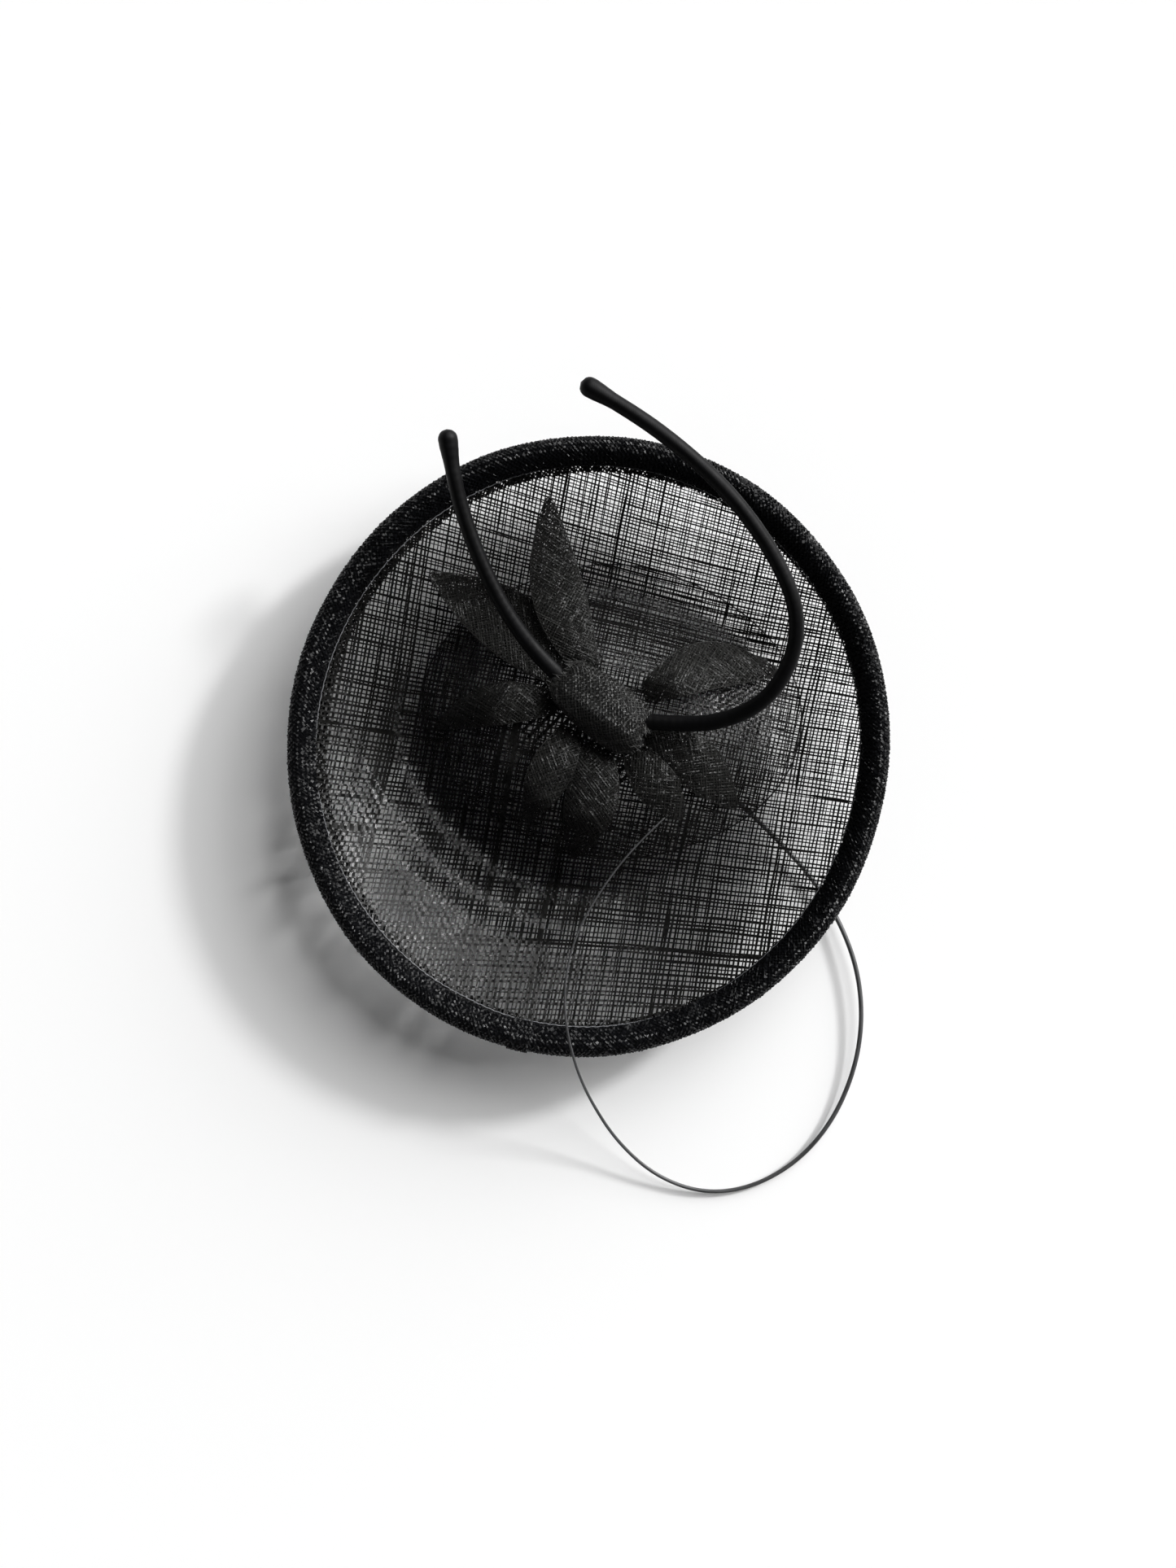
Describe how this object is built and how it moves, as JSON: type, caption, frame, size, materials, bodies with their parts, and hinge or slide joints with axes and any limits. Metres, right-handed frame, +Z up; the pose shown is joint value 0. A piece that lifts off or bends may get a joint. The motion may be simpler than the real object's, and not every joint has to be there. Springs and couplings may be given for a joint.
{
  "type": "fascinator headpiece",
  "caption": "Black disc fascinator: dished open-weave sinamay with a bound wired edge, petals, a wrapped knot, satin stems, a curled quill and a hair comb.",
  "frame": {"origin": "on the disc's axis, in the plane of the crown's foot ring, where the part rests on a table or on the head", "axes": "+Z up along the disc's axis, +Y towards the side that both stems lean to, -Y towards the curled quill's loop"},
  "size_m": [0.2758, 0.3663, 0.1085],
  "materials": {
    "sinamay": "stiffened open-weave sinamay, black",
    "binding": "bias-cut sinamay binding, blue-black",
    "petal_sinamay": "fine double sinamay, charcoal black",
    "knot_sinamay": "gathered fine sinamay",
    "satin": "satin-covered rouleau, soft sheen",
    "piping": "cotton piping cord",
    "thread": "polyester sewing thread",
    "wire": "covered millinery wire",
    "joiner": "crimped ferrule",
    "quill": "stripped feather spine, dyed charcoal, satin",
    "comb_plastic": "moulded comb, black"
  },
  "bodies": {
    "root": {"sinamay_disc": "sinamay", "crown_underlay": "sinamay", "edge_binding": "binding", "binding_lap": "binding", "binding_stitch": "thread", "rim_wire": "wire", "rim_wire_joiner": "joiner", "petal_upper_left": "petal_sinamay", "petal_upper": "petal_sinamay", "petal_right": "petal_sinamay", "petal_lower_right": "petal_sinamay", "petal_lower_middle": "petal_sinamay", "petal_lower": "petal_sinamay", "petal_lower_left": "petal_sinamay", "petal_left": "petal_sinamay", "knot_wrap": "knot_sinamay", "knot_core": "knot_sinamay", "left_stem_cover": "satin", "right_stem_cover": "satin", "left_stem_piping": "piping", "right_stem_piping": "piping", "left_stem_wire": "wire", "right_stem_wire": "wire", "curled_quill": "quill", "quill_ties": "thread", "hair_comb": "comb_plastic", "comb_stitches": "thread", "anchor_stitches": "thread"}
  },
  "joints": []
}
